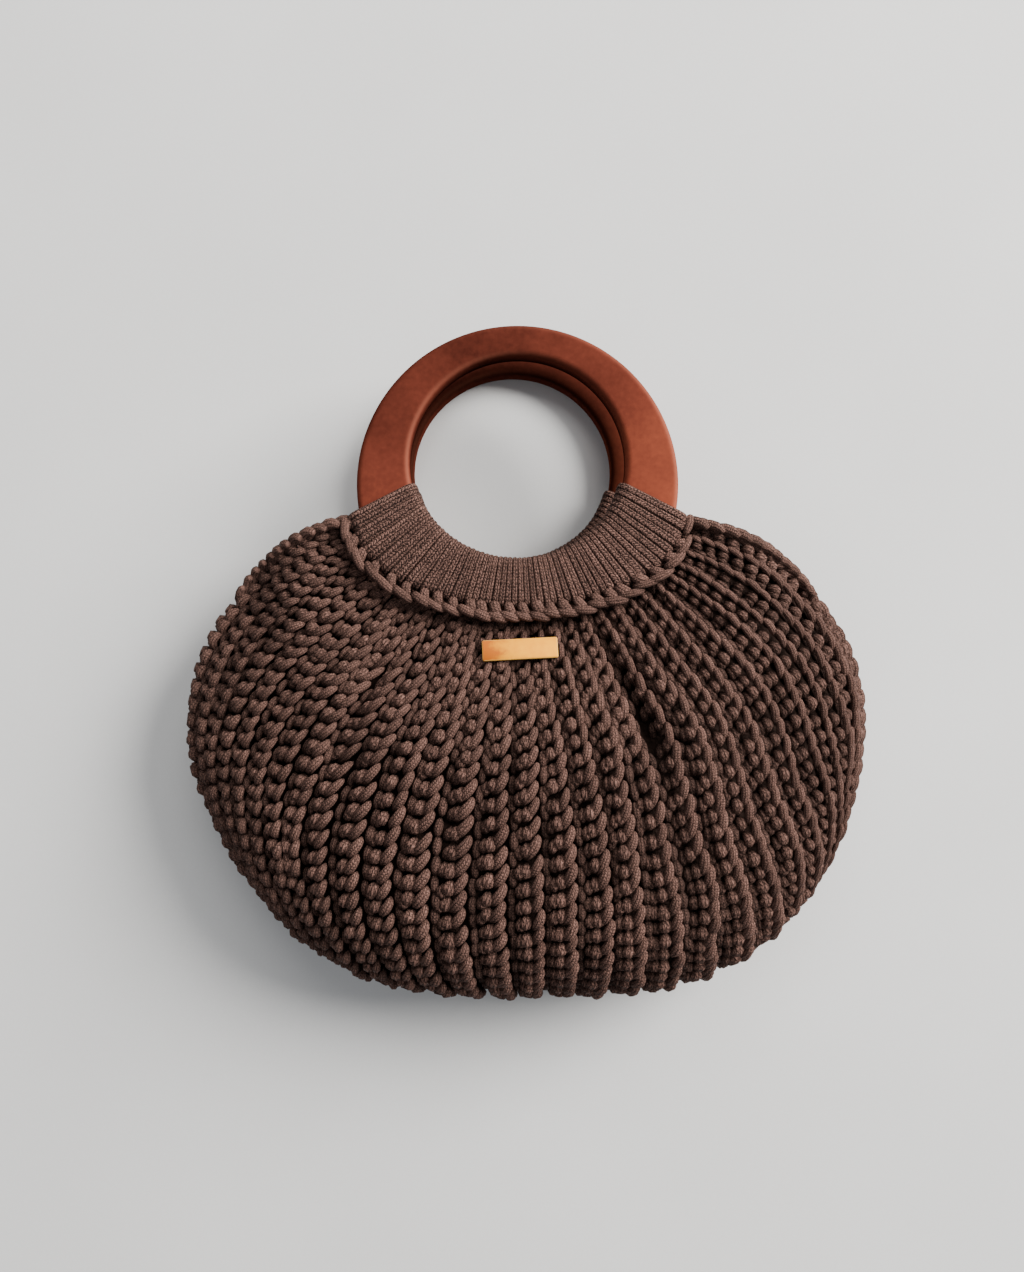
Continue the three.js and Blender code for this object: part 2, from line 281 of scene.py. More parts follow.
def newMaterial(name, finish):
    material = bpy.data.materials.new(name)
    material.use_nodes = True
    shader = material.node_tree.nodes["Principled BSDF"]
    shader.inputs["Roughness"].default_value = finish["roughness"]
    shader.inputs["Specular IOR Level"].default_value = finish["shine"]
    return material, nodeBench(material.node_tree)


knitted = dict(uneven=(650, 2), columnWander=0.9, rowWander=1.6, rowSlope=1.4, ridge=4)


def knitGroup():
    # columns of small Vs along a cord: the row number rises toward both edges of a column,
    # and each row is a hump that ends at the edges
    tree = bpy.data.node_groups.new("knitColumns", "ShaderNodeTree")
    for name, way in (("Columns", "INPUT"), ("Rows", "INPUT"), ("Height", "OUTPUT")):
        tree.interface.new_socket(name, in_out=way, socket_type="NodeSocketFloat")
    bench = nodeBench(tree)
    given, result = bench.add("NodeGroupInput"), bench.add("NodeGroupOutput")
    uneven = bench.minus(bench.noise(bench.spot(), *knitted["uneven"]), 0.5)
    across, along = bench.uvPlace()
    column = bench.times(across, given.outputs["Columns"])
    column = bench.plus(column, bench.times(uneven, knitted["columnWander"]))
    fromEdge = bench.math("PINGPONG", column, 0.5)
    row = bench.times(along, given.outputs["Rows"])
    row = bench.plus(row, bench.times(uneven, knitted["rowWander"]))
    row = bench.minus(row, bench.times(fromEdge, knitted["rowSlope"]))
    hump = bench.math("SINE", bench.times(bench.math("FRACT", row), np.pi))
    ridge = bench.math("MINIMUM", bench.times(fromEdge, knitted["ridge"]), 1)
    bench.feed(result, "Height", bench.times(hump, ridge))
    return tree


knitColumns = knitGroup()
cord = dict(
    low=(0.008, 0.004, 0.003), high=(0.16, 0.086, 0.0675), toneSpread=0.35, deepShade=0.55,
    cloud=(1700, 3), cloudShare=1.5, bump=(0.8, 0.0005), roughness=0.85, shine=0.08)
roundCord = dict(columns=9, rows=9.5, knitShare=0.7, base=-0.6)
flatCord = dict(columns=5, rows=6.5, knitShare=0.95, base=-0.82)  # two columns show on each turn


def cordMaterialOf(name, kind):
    # brown by the knit and a fine cloud, times the strand's tone, and darker as painted shade where it
    # lies deep
    material, bench = newMaterial(name, cord)
    knit = bench.add("ShaderNodeGroup", dict(node_tree=knitColumns),
                     Columns=kind["columns"], Rows=kind["rows"]).outputs["Height"]
    cloud = bench.times(bench.noise(bench.spot(), *cord["cloud"]), cord["cloudShare"])
    share = bench.plus(bench.times(knit, kind["knitShare"]), bench.plus(cloud, kind["base"]))
    colour = bench.mix(share, cord["low"], cord["high"])
    spread = cord["toneSpread"]
    lift = bench.plus(bench.times(bench.mark("tone"), spread), 1 - spread / 2)
    shade = bench.times(bench.mark("deep"), cord["deepShade"])
    lift = bench.times(lift, bench.minus(1, shade))
    bench.paint(bench.scaled(colour, lift), knit, cord["bump"])
    return material


# hiddenLow and hiddenHigh: nearly black painted shade on the outer sheet, between the stitches
lining = dict(
    shownLow=(0.008, 0.004, 0.003), shownHigh=(0.07, 0.034, 0.025), hiddenLow=(0.004, 0.002, 0.0015),
    hiddenHigh=(0.016, 0.009, 0.007), fuzz=(600, 3), share=0.6, bump=(0.8, 0.004), roughness=0.95,
    shine=0.05)


def wallMaterialOf():
    # rows of lumps, sine across times sine along; nearly black outside, between the stitches, as painted
    # shade
    material, bench = newMaterial("innerWall", lining)
    across, along = (bench.math("SINE", bench.times(place, np.pi)) for place in bench.uvPlace())
    lumps = bench.math("ABSOLUTE", bench.times(across, along))
    fuzz = bench.noise(bench.spot(), *lining["fuzz"])
    share = bench.times(bench.plus(lumps, fuzz), lining["share"])
    shown = bench.mix(share, lining["shownLow"], lining["shownHigh"])
    hidden = bench.mix(share, lining["hiddenLow"], lining["hiddenHigh"])
    bench.paint(bench.mix(bench.mark("inside"), hidden, shown), share, lining["bump"])
    return material


# edge is the colour of a painted highlight on handle edges that face the lamp
wood = dict(
    dark=(0.03, 0.0072, 0.005), middle=(0.1, 0.0232, 0.0142), light=(0.225, 0.053, 0.0265),
    edge=(0.34, 0.115, 0.07), highlightShare=0.3, middleAt=0.45, start=0.14, darkest=(-0.005, 0.165, 0),
    byAway=3.8, sheenToRight=1.2, blotch=(30, 3), blotchShare=0.6, grain=(420, 3), grainShare=0.3,
    bump=(0.04, 0.0004), roughness=0.55, shine=0)


def woodMaterialOf():
    # darkest at the top of the handle, brighter away from it and to the right, in soft blotches: partly
    # the wood's own smoky colour and partly painted sheen from the lamp at the right; paler by the mark
    # edge, a painted highlight, and darker by the mark dim, painted shade
    material, bench = newMaterial("lacqueredWood", wood)
    spot = bench.spot()
    x, y = bench.add("ShaderNodeSeparateXYZ", None, n0=spot).outputs[:2]
    plan = bench.add("ShaderNodeCombineXYZ", None, X=x, Y=y).outputs[0]
    away = bench.add("ShaderNodeVectorMath", dict(operation="DISTANCE"), n0=plan, n1=wood["darkest"])
    away = bench.times(away.outputs["Value"], wood["byAway"])
    # brighter to the right: painted sheen from the lamp at the right
    value = bench.plus(away, bench.times(x, wood["sheenToRight"]))
    blotch, grain = bench.noise(spot, *wood["blotch"]), bench.noise(spot, *wood["grain"])
    value = bench.plus(value, bench.wave(blotch, wood["blotchShare"]))
    value = bench.plus(value, bench.wave(grain, wood["grainShare"]))
    value = bench.plus(value, wood["start"])
    stops = ((0, "dark"), (wood["middleAt"], "middle"), (1, "light"))
    colour = bench.ramp(value, [(position, wood[key]) for position, key in stops])
    # the mark edge mixes in a painted highlight where the edges face the lamp
    paintedHighlight = bench.times(bench.mark("edge"), wood["highlightShare"])
    colour = bench.mix(paintedHighlight, colour, wood["edge"])
    # the mark dim is painted shade: darker low in the front handle's hole and on the back handle's face
    lit = bench.minus(1, bench.mark("dim"))
    bench.paint(bench.scaled(colour, lit), grain, wood["bump"])
    return material


leather = dict(
    tanLow=(0.6, 0.2, 0), tanHigh=(0.8, 0.34, 0), patch=(0.42, 0.105, 0.01), patchFrom=5,
    patchSlope=-0.11, patchWave=2.4, edge=(0.66, 0.36, 0.09), edgeAt=(17.2, 4.65), cloud=(260, 4),
    grain=(2200, 2), bump=(0.15, 0.0002), roughness=0.55, shine=0.05)


def labelMaterialOf():
    # golden tan with an orange patch at the left end and pale cut edges; uv in millimetres
    material, bench = newMaterial("tanLabel", leather)
    spot = bench.spot()
    x, y = bench.uvPlace()
    cloud, grain = bench.noise(spot, *leather["cloud"]), bench.noise(spot, *leather["grain"])
    patch = bench.times(bench.plus(x, leather["patchFrom"]), leather["patchSlope"])
    patch = bench.plus(patch, bench.wave(cloud, leather["patchWave"]))
    patch = bench.add("ShaderNodeClamp", None, Value=patch).outputs[0]
    tan = bench.mix(cloud, leather["tanLow"], leather["tanHigh"])
    colour = bench.mix(patch, tan, leather["patch"])
    ends, sides = (bench.math("GREATER_THAN", bench.math("ABSOLUTE", place), limit)
                   for place, limit in zip((x, y), leather["edgeAt"]))
    edge = bench.math("MAXIMUM", sides, ends)
    bench.paint(bench.mix(edge, colour, leather["edge"]), grain, leather["bump"])
    return material


slab = dict(
    low=(0.52, 0.515, 0.505), high=(0.64, 0.635, 0.625), cloud=(7, 5), cloudShare=0.7,
    grain=(900, 2), grainShare=0.3, roughness=0.9, shine=0.2)


def floorMaterialOf():
    # pale grey with wide soft clouds and a fine grain
    material, bench = newMaterial("paleFloor", slab)
    spot = bench.spot()
    cloud, grain = bench.noise(spot, *slab["cloud"]), bench.noise(spot, *slab["grain"])
    share = bench.plus(bench.times(cloud, slab["cloudShare"]), bench.times(grain, slab["grainShare"]))
    bench.paint(bench.mix(share, slab["low"], slab["high"]))
    return material


cordMaterial = cordMaterialOf("knittedCord", roundCord)
turnMaterial = cordMaterialOf("flatCord", flatCord)
wallMaterial = wallMaterialOf()
woodMaterial = woodMaterialOf()
labelMaterial = labelMaterialOf()
floorMaterial = floorMaterialOf()
print("materials made")


# Floor

floorShape = dict(half=2500, drop=0.4)


def makeFloor():  # one square just below the bag
    corners = np.array([(-1, -1), (1, -1), (1, 1), (-1, 1)]) * floorShape["half"]
    points = np.column_stack([corners, np.full(4, -floorShape["drop"])])
    mesh = bpy.data.meshes.new("floor")
    mesh.from_pydata((points * mm).tolist(), [], [(0, 1, 2, 3)])
    mesh.materials.append(floorMaterial)
    floor = bpy.data.objects.new("floor", mesh)
    bpy.context.collection.objects.link(floor)


makeFloor()


# Wooden handles

hoop = dict(
    radius=75.5, baseRise=63.7, baseRadius=120, holeRise=9.8, holeRadius=51, seatRise=18.7,
    seatRadius=57.5, cornerPower=24, thickness=13, edgeRound=3.2, pivotY=-47.5, steps=240,
    cornerSteps=7)
# dim shares: painted shadow low on the front handle's hole wall, above the back handle, and painted shade
# of the front handle on the back handle's upper face by the hole
frontHandle = dict(x=-4.2, y=85, z=60, lean=3, shadowUnder=0.92, shadowFace=0)
backHandle = dict(x=-6.7, y=88, z=13.3, lean=3, shadowUnder=0, shadowFace=0.76)
# shares of the painted shade marks and of the painted highlight on the handle edges
paintedLight = dict(
    wallFrom=0.78, wallOver=0.2, wallTop=0.35, wallFade=0.7, faceEnd=0.7, faceOver=0.8, faceFrom=0.3,
    faceFade=0.5, edgePower=3, rightPower=2)


def circleReach(angle, rise, radius):  # from the handle centre to a circle raised above it
    return rise * np.sin(angle) + np.sqrt(radius ** 2 - (rise * np.cos(angle)) ** 2)


def softSmaller(first, second):  # the smaller of two reaches, rounded where the curves meet
    power = hoop["cornerPower"]
    return (first ** -power + second ** -power) ** (-1 / power)


def rimReach(angle):
    base = circleReach(angle, hoop["baseRise"], hoop["baseRadius"])
    return softSmaller(hoop["radius"], base)


def holeReach(angle):
    upper = circleReach(angle, hoop["holeRise"], hoop["holeRadius"])
    return softSmaller(upper, circleReach(angle, hoop["seatRise"], hoop["seatRadius"]))


def polar(reach, angle):
    return np.stack([reach * np.cos(angle), reach * np.sin(angle)], axis=-1)


def atHandle(handle, points):  # leans about the base of the handle, then moves
    lean = np.radians(handle["lean"])
    x, y, z = points[..., 0], points[..., 1] - hoop["pivotY"], points[..., 2]
    rise = handle["y"] + hoop["pivotY"]
    return np.stack([x + handle["x"], y * np.cos(lean) + z * np.sin(lean) + rise,
                     z * np.cos(lean) - y * np.sin(lean) + handle["z"]], axis=-1)


def roundedBox(reach, rise, rounding, cornerSteps):
    # around a rectangle with round corners: corner centre plus a quarter circle for each in turn
    turn, signs = cornerTurns(cornerSteps)
    along = signs[:, 0] * (reach[..., None] - rounding) + rounding * np.cos(turn)
    height = signs[:, 1] * (rise - rounding) + rounding * np.sin(turn)
    return along, np.broadcast_to(height, along.shape)


def handleMarks(handle, angle, half, along, height):
    # edge: painted highlight on the upper edges that face right, toward the lamp; dim: painted shadow low
    # on the hole's wall and painted shade on the upper face around the hole
    rounding, rise = hoop["edgeRound"], hoop["thickness"] / 2
    corner, upper = np.abs(along) - half[:, None] + rounding, height - rise + rounding
    edge = 2 * np.clip(corner, 0, None) * np.clip(upper, 0, None) / rounding ** 2
    toRight = np.sign(along) * np.cos(angle)[:, None] / 2 + 0.5
    part, level = along / half[:, None], height / rise  # both go from -1 to 1
    low = smooth(-part - paintedLight["wallFrom"], paintedLight["wallOver"])
    low = low * smooth(paintedLight["wallTop"] - level, paintedLight["wallFade"])
    face = smooth(paintedLight["faceEnd"] - part, paintedLight["faceOver"])
    face = face * smooth(level - paintedLight["faceFrom"], paintedLight["faceFade"])
    return dict(edge=edge ** paintedLight["edgePower"] * toRight ** paintedLight["rightPower"],
                dim=handle["shadowUnder"] * low + handle["shadowFace"] * face)


def makeHandle(name, handle, node):
    # for each angle a rounded box section from the hole to the rim, carried once around
    angle = np.arange(hoop["steps"]) / hoop["steps"] * 2 * np.pi
    inner, outer = holeReach(angle), rimReach(angle)
    half = (outer - inner) / 2
    along, height = roundedBox(half, hoop["thickness"] / 2, hoop["edgeRound"], hoop["cornerSteps"])
    reach = (inner + outer)[:, None] / 2 + along
    flat = polar(reach, np.broadcast_to(angle[:, None], reach.shape))
    points = atHandle(handle, np.concatenate([flat, height[..., None]], axis=-1))
    index = np.arange(points.shape[0] * points.shape[1]).reshape(points.shape[:2])
    ahead, beside = np.roll(index, -1, axis=0), np.roll(index, -1, axis=1)
    quads = np.stack([index, ahead, np.roll(ahead, -1, axis=1), beside], axis=-1).reshape(-1, 4)
    marks = handleMarks(handle, angle, half, along, height)
    piece = makePiece(name, points.reshape(-1, 3), [quads], woodMaterial, None, marks)
    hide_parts(node)


makeHandle("wood_handle_front", frontHandle, "handle_front")
makeHandle("wood_handle_back", backHandle, "handle_back")


# Cord turns around the base of each handle, two to a stitch; inside and outside are their distance
# from the hole and the rim, in the middle and added at the ends

wrap = dict(
    innerSpread=89.4, outerSpread=80.1, pairs=26, pairPull=0.06, cordHigh=1.15, overlap=0.58,
    clearance=0.35, inside=(2.75, -1.4), outside=(1.9, 3), bend=4.2, steps=7, sides=8, jitter=0.0016,
    highSpread=(0.9, 1.1))


def bandLine(innerShare, outerShare):  # across the handle base from the hole to the rim
    innerAngle = np.radians(-90 + wrap["innerSpread"] * innerShare)
    outerAngle = np.radians(-90 + wrap["outerSpread"] * outerShare)
    inner, outer = polar(holeReach(innerAngle), innerAngle), polar(rimReach(outerAngle), outerAngle)
    length = lengths(outer - inner)
    return inner, outer, (outer - inner) / length[..., None], length


def wrapLoops(at, pair):
    # rounded box loops around the band; the two turns of a pair lean together at the rim
    inner, outer, way, length = bandLine(at, pair + (at - pair) * (1 - wrap["pairPull"]))
    inside = wrap["inside"][0] + wrap["inside"][1] * at ** 2
    outside = wrap["outside"][0] + wrap["outside"][1] * at ** 2
    rise = hoop["thickness"] / 2 + (wrap["clearance"] + wrap["cordHigh"])
    along, height = roundedBox((length + inside + outside) / 2, rise, wrap["bend"], wrap["steps"])
    along = along + ((outside - inside) / 2)[:, None]
    flat = ((inner + outer) / 2)[:, None] + way[:, None] * along[..., None]
    return np.concatenate([flat, height[..., None]], axis=-1)


def makeWrap(name, handle, node):
    # a loop in the middle of each turn's share of the band, a little wider than the share
    edges = np.linspace(-1, 1, 2 * wrap["pairs"] + 1)
    pair = np.repeat(edges[1::2], 2)
    low, top = edges[:-1], edges[1:]
    share = (low + top) / 2 + rng.normal(0, wrap["jitter"], len(low))
    path = wrapLoops(share, pair)
    wide = lengths(wrapLoops(top, pair) - wrapLoops(low, pair)) * wrap["overlap"]
    high = np.full_like(wide, wrap["cordHigh"]) * rng.uniform(*wrap["highSpread"], (len(share), 1))
    up = path - path.mean(axis=1, keepdims=True)
    points, faces, uv = tubeStrands(path, up, wide, high, wrap["sides"], closed=True)
    piece = makePiece(name, onFloor(atHandle(handle, points)), faces, turnMaterial, uv,
                      cordMarks(len(share), points))
    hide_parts(node)


makeWrap("neck_turns_front", frontHandle, "neck_wrap_front")
makeWrap("neck_turns_back", backHandle, "neck_wrap_back")


# Braided edge below the turns: a lump and a leaf-shaped link for each pair, as short tables of
# place across in pairs, reach past the rim, height and thickness

lump = dict(
    across=(-0.22, -0.17, -0.06, 0.1, 0.22), reach=(0.2, 1.8, 3.6, 5.2, 6.2),
    height=(6.9, 8.1, 8.4, 7.9, 6.6), thick=(0.8, 1.05, 1.1, 0.95, 0.6), radius=1.75, wide=1.35)
link = dict(
    across=(-0.72, -0.45, -0.03, 0.4, 0.74), reach=(4.7, 5.6, 6.5, 7.3, 7.8),
    height=(7, 8.5, 8.9, 8.2, 6.6), thick=(0.62, 1.02, 1.15, 1.02, 0.62), radius=1.8, wide=1.08)
chain = dict(
    rings=9, sides=7, thinner=0.08, endDip=4, dipPower=8, endShort=0.35, shortPower=12,
    furthest=1.005, acrossJitter=0.07, reachJitter=0.4, heightJitter=0.25, thickSpread=(0.86, 1.1))


def chainStrands(handle, side, table):
    # a strand for each pair, by its table; thinner, lower and shorter toward both ends of the neck
    rows = throughRows(table, ("across", "reach", "height", "thick"), chain["rings"])
    pairs = wrap["pairs"]
    pair = (np.arange(pairs) + 0.5)[:, None]
    share = (pair + rows[:, 0] + rng.normal(0, chain["acrossJitter"], (pairs, 1))) / pairs * 2 - 1
    share = np.clip(share, -chain["furthest"], chain["furthest"])
    outer, way = bandLine(share, share)[1:3]
    reach = rows[:, 1] * (1 - chain["endShort"] * share ** chain["shortPower"])
    reach = reach + wrap["outside"][1] * share ** 2 + rng.normal(0, chain["reachJitter"], (pairs, 1))
    height = rows[:, 2] - chain["endDip"] * share ** chain["dipPower"]
    height = side * (height + rng.normal(0, chain["heightJitter"], (pairs, 1)))
    path = np.concatenate([outer + way * reach[..., None], height[..., None]], axis=-1)
    thick = table["radius"] * rows[:, 3] * tipThinning(chain["rings"])
    thick = thick * rng.uniform(*chain["thickSpread"], (pairs, 1))
    thick = thick * (1 - chain["thinner"] * share ** 2)
    up = np.zeros_like(path) + np.array([0, 0, side])
    points, faces, uv = tubeStrands(path, up, thick * table["wide"], thick, chain["sides"])
    return onFloor(atHandle(handle, points)), faces, uv, cordMarks(pairs, points)


def makeChain(name, handle, side, node):
    points, faces, uv, marks = chainStrands(handle, side, lump)
    morePoints, moreFaces, moreUv, moreMarks = chainStrands(handle, side, link)
    faces = faces + [part + len(points) for part in moreFaces]
    marks = {key: np.concatenate([marks[key], moreMarks[key]]) for key in marks}
    piece = makePiece(name, np.concatenate([points, morePoints]), faces, cordMaterial,
                      np.concatenate([uv, moreUv]), marks)
    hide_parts(node)


makeChain("neck_braid_front", frontHandle, 1, "neck_chain_front")
makeChain("neck_braid_back", backHandle, -1, "neck_chain_back")


# Crocheted body: the surface over the rib tops. Two values are left and right, or one for each
# pinch; three are left, middle and right

ribs, stitches = 29, 54
body = dict(
    centerX=-1.9, centerY=-31.2, halfWidth=172.6, drop=132.3, fullness=3.4,
    bottomSpread=65.4, sideTurn=70, crown=86, edge=36, press=2, neckLift=3, neckStart=4.85,
    slitEnd=0.35, riseEnd=0.32, settleFrom=0.05, settleEnd=0.2, foldFrom=0.6, foldPlan=0.66,
    frontRound=(3, 0.6), backRound=(6, 0.5))
ribCourse = dict(
    taper=(0.314, 0.192), leaveTurn=81.4, leaveReach=(49, 76.4, 68), arriveTurn=(34.8, 24.9),
    arriveReach=(104, 60.4, 102.5))
pinches = dict(
    fromX=(35, -70), fromY=(12.1, -3.9), toX=(56, -84), toY=(-29.9, -37.9), depth=(5.5, 4),
    width=(7, 6), start=0.16, fade=12)


def ofSide(values, across):
    return np.where(across < 0, values[0], values[-1])


def reachAt(reach, across):  # from the middle value to the side value with the square of across
    return reach[1] + (ofSide(reach, across) - reach[1]) * across ** 2


def neckPoints(handle, side, across):  # where the ribs begin
    outer, way = bandLine(across, across)[1:3]
    flat = outer + way * body["neckStart"]
    lift = np.full(across.shape + (1,), side * body["neckLift"])
    return atHandle(handle, np.concatenate([flat, lift], axis=-1))


def foldTurn(along):  # quarter turn over the bottom fold
    return np.clip((along - body["foldFrom"]) / (1 - body["foldFrom"]), 0, 1) * np.pi / 2


def planPoints(across, along):
    # cubic curve of each rib in plan, square to the neck and going down at the bottom fold
    neck = neckPoints(frontHandle, 1, across)
    startX, startY = neck[..., 0], neck[..., 1]
    turn = np.radians(body["bottomSpread"] * across)
    corner = np.abs(np.sin(turn)) ** body["fullness"] + np.abs(np.cos(turn)) ** body["fullness"]
    stretch = corner ** (-1 / body["fullness"])
    drop = stretch * np.cos(turn)
    narrow = 1 - ofSide(ribCourse["taper"], across) * drop
    endX = body["centerX"] + body["halfWidth"] * stretch * np.sin(turn) * narrow
    endY = body["centerY"] - body["drop"] * drop
    leave = np.radians(-90 + ribCourse["leaveTurn"] * across)
    leaveBy = reachAt(ribCourse["leaveReach"], across)
    leaveX, leaveY = startX + leaveBy * np.cos(leave), startY + leaveBy * np.sin(leave)
    arrive = np.radians(ofSide(ribCourse["arriveTurn"], across) * across)
    arriveBy = reachAt(ribCourse["arriveReach"], across)
    arriveX, arriveY = endX + arriveBy * np.sin(arrive), endY + arriveBy * np.cos(arrive)
    t = body["foldPlan"] * np.minimum(along / body["foldFrom"], 1)
    t = t + (1 - body["foldPlan"]) * np.sin(foldTurn(along))
    a, b, c, d = (1 - t) ** 3, 3 * t * (1 - t) ** 2, 3 * t * t * (1 - t), t ** 3
    x = a * startX + b * leaveX + c * arriveX + d * endX
    y = a * startY + b * leaveY + c * arriveY + d * endY
    return x, y, neck


def sideShare(across, along, power, root):  # share of the height left toward the sides
    spread = np.sin(np.radians(body["sideTurn"] * across)) / np.sin(np.radians(body["sideTurn"]))
    share = np.maximum(1 - np.abs(spread) ** power, 0) ** root
    return 1 + (share - 1) * smooth(along, body["slitEnd"])


def pinchDepth(x, y):  # grooves between two plan points, a bell curve across and at the ends
    depth = np.zeros_like(x)
    for k in range(len(pinches["depth"])):
        start = np.array([pinches["fromX"][k], pinches["fromY"][k]])
        way = np.array([pinches["toX"][k], pinches["toY"][k]]) - start
        length = np.hypot(*way)
        run = ((x - start[0]) * way[0] + (y - start[1]) * way[1]) / length
        aside = ((x - start[0]) * way[1] - (y - start[1]) * way[0]) / length
        beyond = np.maximum(np.maximum(-run, run - length), 0)
        bell = np.exp(-(aside / pinches["width"][k]) ** 2 - (beyond / pinches["fade"]) ** 2)
        depth += pinches["depth"][k] * bell
    return depth


def frontPoints(across, along):
    # height from the side edge up to the crown, by the shares left toward the sides and the fold
    x, y, neck = planPoints(across, along)
    crown = neck[..., 2] + (body["crown"] - neck[..., 2]) * smooth(along, body["riseEnd"])
    share = sideShare(across, along, *body["frontRound"]) * np.cos(foldTurn(along))
    groove = pinchDepth(x, y) * smooth(along, pinches["start"])
    return np.stack([x, y, body["edge"] + (crown - body["edge"] - groove) * share], axis=-1)


def backPoints(across, along):
    # the front's plan moved to the back neck, height from the side edge down to the floor
    x, y, frontNeck = planPoints(across, along)
    neck = neckPoints(backHandle, -1, across)
    rest = 1 - smooth(along, body["slitEnd"])
    settle = smooth(along - body["settleFrom"], body["settleEnd"] - body["settleFrom"])
    ground = neck[..., 2] * (1 - settle) - body["press"] * settle
    share = sideShare(across, along, *body["backRound"]) * np.sqrt(np.maximum(np.cos(foldTurn(along)), 0))
    z = np.maximum(body["edge"] - (body["edge"] - ground) * share, 0)
    shift = (neck - frontNeck) * rest[..., None]
    return np.stack([x + shift[..., 0], y + shift[..., 1], z], axis=-1)


def spacedBy(sheet, goal):
    # same surface with points at the given shares of the length along the first axis
    step = lengths(np.diff(sheet, axis=0))
    run = np.concatenate([np.zeros((1, sheet.shape[1])), np.cumsum(step, axis=0)])
    run = run / run[-1]
    column, row = np.arange(sheet.shape[1]), np.arange(len(run))
    at = np.stack([np.interp(goal[:, k], run[:, k], row) for k in column], axis=1)
    low = np.minimum(at.astype(int), len(run) - 2)
    part = (at - low)[..., None]
    return sheet[low, column[None]] * (1 - part) + sheet[low + 1, column[None]] * part


sheetPoints = (401, 481)  # across and along, before evening out
ribSteps, stitchSteps = 6, 6  # grid steps in a rib and in a stitch
gathered = dict(share=0.62, stitches=5)  # stitches are shorter next to the necks
# lower down the ribs run out toward the sides, by up to this many ribs
driftLeft = dict(most=0.9, skew=0.8, start=0.12, end=0.62)
driftRight = dict(most=3, skew=1.3, start=0.5, end=1)


def ribDrift(drift, toSide, run):
    # bell over the half of the bag, times an easing along the ribs
    low = smooth(np.minimum(run, 2 - run) - drift["start"], drift["end"] - drift["start"])
    bell = np.sin(np.pi * np.clip(toSide, 0, 1) ** drift["skew"]) ** 2
    return drift["most"] / ribs * bell * low


def fabricGrid():
    # front neck to bottom fold to back neck, evened out to the spacing of ribs and stitches; each
    # point has its place, outward direction, rib pitch and stitch pitch
    across, run = np.meshgrid(np.linspace(-1, 1, sheetPoints[0]), np.linspace(0, 2, sheetPoints[1]),
                              indexing="ij")
    sheet = np.where((run <= 1)[..., None], frontPoints(across, np.minimum(run, 1)),
                     backPoints(across, np.minimum(2 - run, 1)))
    share = np.linspace(0, 1, ribs * ribSteps + 1)[:, None]
    drift = ribDrift(driftRight, 2 * share - 1, run[0]) - ribDrift(driftLeft, 1 - 2 * share, run[0])
    sheet = spacedBy(sheet, share + drift)
    step = (np.arange(stitches * stitchSteps) + 0.5) / stitchSteps
    fromNeck = np.minimum(step, stitches - step)
    length = gathered["share"] + (1 - gathered["share"]) * smooth(fromNeck, gathered["stitches"])
    goal = np.concatenate([[0], np.cumsum(length)]) / length.sum()
    goal = np.repeat(goal[:, None], len(share), axis=1)
    sheet = spacedBy(sheet.swapaxes(0, 1), goal).swapaxes(0, 1)
    ribWay = np.gradient(sheet, axis=0) * ribSteps
    stitchWay = np.gradient(sheet, axis=1) * stitchSteps
    normal = unit(np.cross(stitchWay, ribWay))
    pitch = np.stack([lengths(ribWay), lengths(stitchWay)], axis=-1)
    return np.concatenate([sheet, normal, pitch], axis=-1)


fabric = fabricGrid()
print("fabric grid", fabric.shape, "pitches", fabric[..., 6:].mean(axis=(0, 1)).round(1))


def onFabric(rib, stitch):
    # place, outward direction and both pitches at a rib and stitch number
    end = np.array(fabric.shape[:2]) - 1.001  # just inside the last point
    x, y = np.clip(rib * ribSteps, 0, end[0]), np.clip(stitch * stitchSteps, 0, end[1])
    i, j = x.astype(int), y.astype(int)
    u, v = (x - i)[..., None], (y - j)[..., None]
    found = (fabric[i, j] * (1 - u) + fabric[i + 1, j] * u) * (1 - v)
    found = found + (fabric[i, j + 1] * (1 - u) + fabric[i + 1, j + 1] * u) * v
    return found[..., :3], unit(found[..., 3:6]), found[..., 6], found[..., 7]


# Stitches: four strands of cord for each. across to thick run along the strand: its place in ribs
# and stitches, depth below the fabric and thickness. slant to raised are values at acrossMarks:
# slant spreads the strand about its hinge, lower sinks it, thin scales its thickness, aside and
# raised move it, level brings it to one depth and stretch lengthens it

acrossMarks = (-1, -0.75, -0.4, 0, 0.4, 0.85, 1)  # places across the bag
none, same = (0,) * len(acrossMarks), (1,) * len(acrossMarks)
rope = dict(
    across=(0.105, 0.13, 0.175, 0.235, 0.29, 0.315, 0.32),
    along=(-0.62, -0.42, -0.18, 0.12, 0.42, 0.64, 0.8), sink=(7.6, 5.8, 3.5, 2.2, 2.1, 2.8, 4.4),
    thick=(0.5, 0.78, 1, 1.06, 0.97, 0.76, 0.42), radius=2.25, wide=1, rings=9, sides=7, hinge=0.32,
    slant=(0.9, 1.4, 1.75, 1.5, 1.05, 0.5, 0.9), lower=(0.3, -0.2, -0.3, -0.2, -0.4, -0.6, 0.6),
    thin=(0.95, 0.92, 0.92, 0.96, 0.9, 0.7, 0.9), aside=(-0.03, -0.04, -0.03, 0, 0.02, 0.05, 0),
    level=(0, 0, 0, 0, 0.35, 0.65, 0.1), stretch=same, raised=none)
